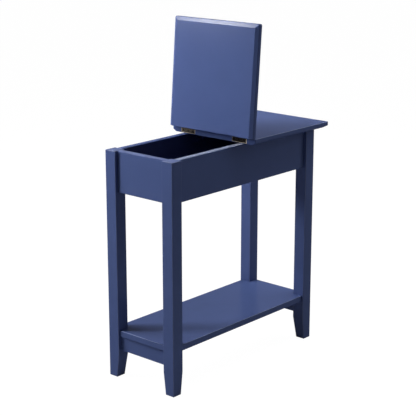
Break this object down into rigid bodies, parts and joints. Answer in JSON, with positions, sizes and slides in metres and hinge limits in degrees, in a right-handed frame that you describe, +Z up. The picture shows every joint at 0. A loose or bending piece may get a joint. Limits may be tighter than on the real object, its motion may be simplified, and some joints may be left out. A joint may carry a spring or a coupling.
{
  "type": "lift top end table",
  "caption": "Narrow blue side table with a storage box under a split top, whose front half lifts on butt hinges, and an open shelf near the floor.",
  "frame": {"origin": "on the floor, under the middle of the bounding box with the lid open", "axes": "+X across the table, to the right for a viewer who faces the lid's free end; +Y along the table, from the lid to the fixed half of the top; +Z up"},
  "size_m": [0.28, 0.582, 0.8945],
  "materials": {
    "blue_paint": "satin navy blue paint",
    "dark_panel": "matt dark blue paint",
    "beech": "raw",
    "aged_brass": "aged dark satin",
    "dark_screws": "dark bronzed",
    "zinc_screws": "zinc plated"
  },
  "bodies": {
    "table": {"leg_front_left": "blue_paint", "leg_front_right": "blue_paint", "leg_back_left": "blue_paint", "leg_back_right": "blue_paint", "apron_front": "blue_paint", "apron_back": "blue_paint", "apron_left": "blue_paint", "apron_right": "blue_paint", "fixed_top": "blue_paint", "shelf": "blue_paint", "shelf_rail_front": "blue_paint", "shelf_rail_back": "blue_paint", "box_bottom": "dark_panel", "top_cleat_left": "dark_panel", "top_cleat_right": "dark_panel", "apron_dowels": "beech", "rail_dowels": "beech", "hinge_leaf_fixed_left": "aged_brass", "hinge_leaf_fixed_right": "aged_brass", "hinge_pin_left": "aged_brass", "hinge_pin_right": "aged_brass", "hinge_screws_fixed": "dark_screws", "cleat_screws": "zinc_screws", "top_screws": "zinc_screws", "shelf_screws": "zinc_screws"},
    "lid": {"lid": "blue_paint", "hinge_leaf_lid_left": "aged_brass", "hinge_leaf_lid_right": "aged_brass", "hinge_screws_lid": "dark_screws"}
  },
  "joints": [
    {"name": "lid_hinge", "type": "hinge", "parent": "table", "child": "lid", "pos_m": [0, -0.0159, 0.61], "axis": [-1, 0, 0], "range_deg": [-94.5, 0]}
  ]
}
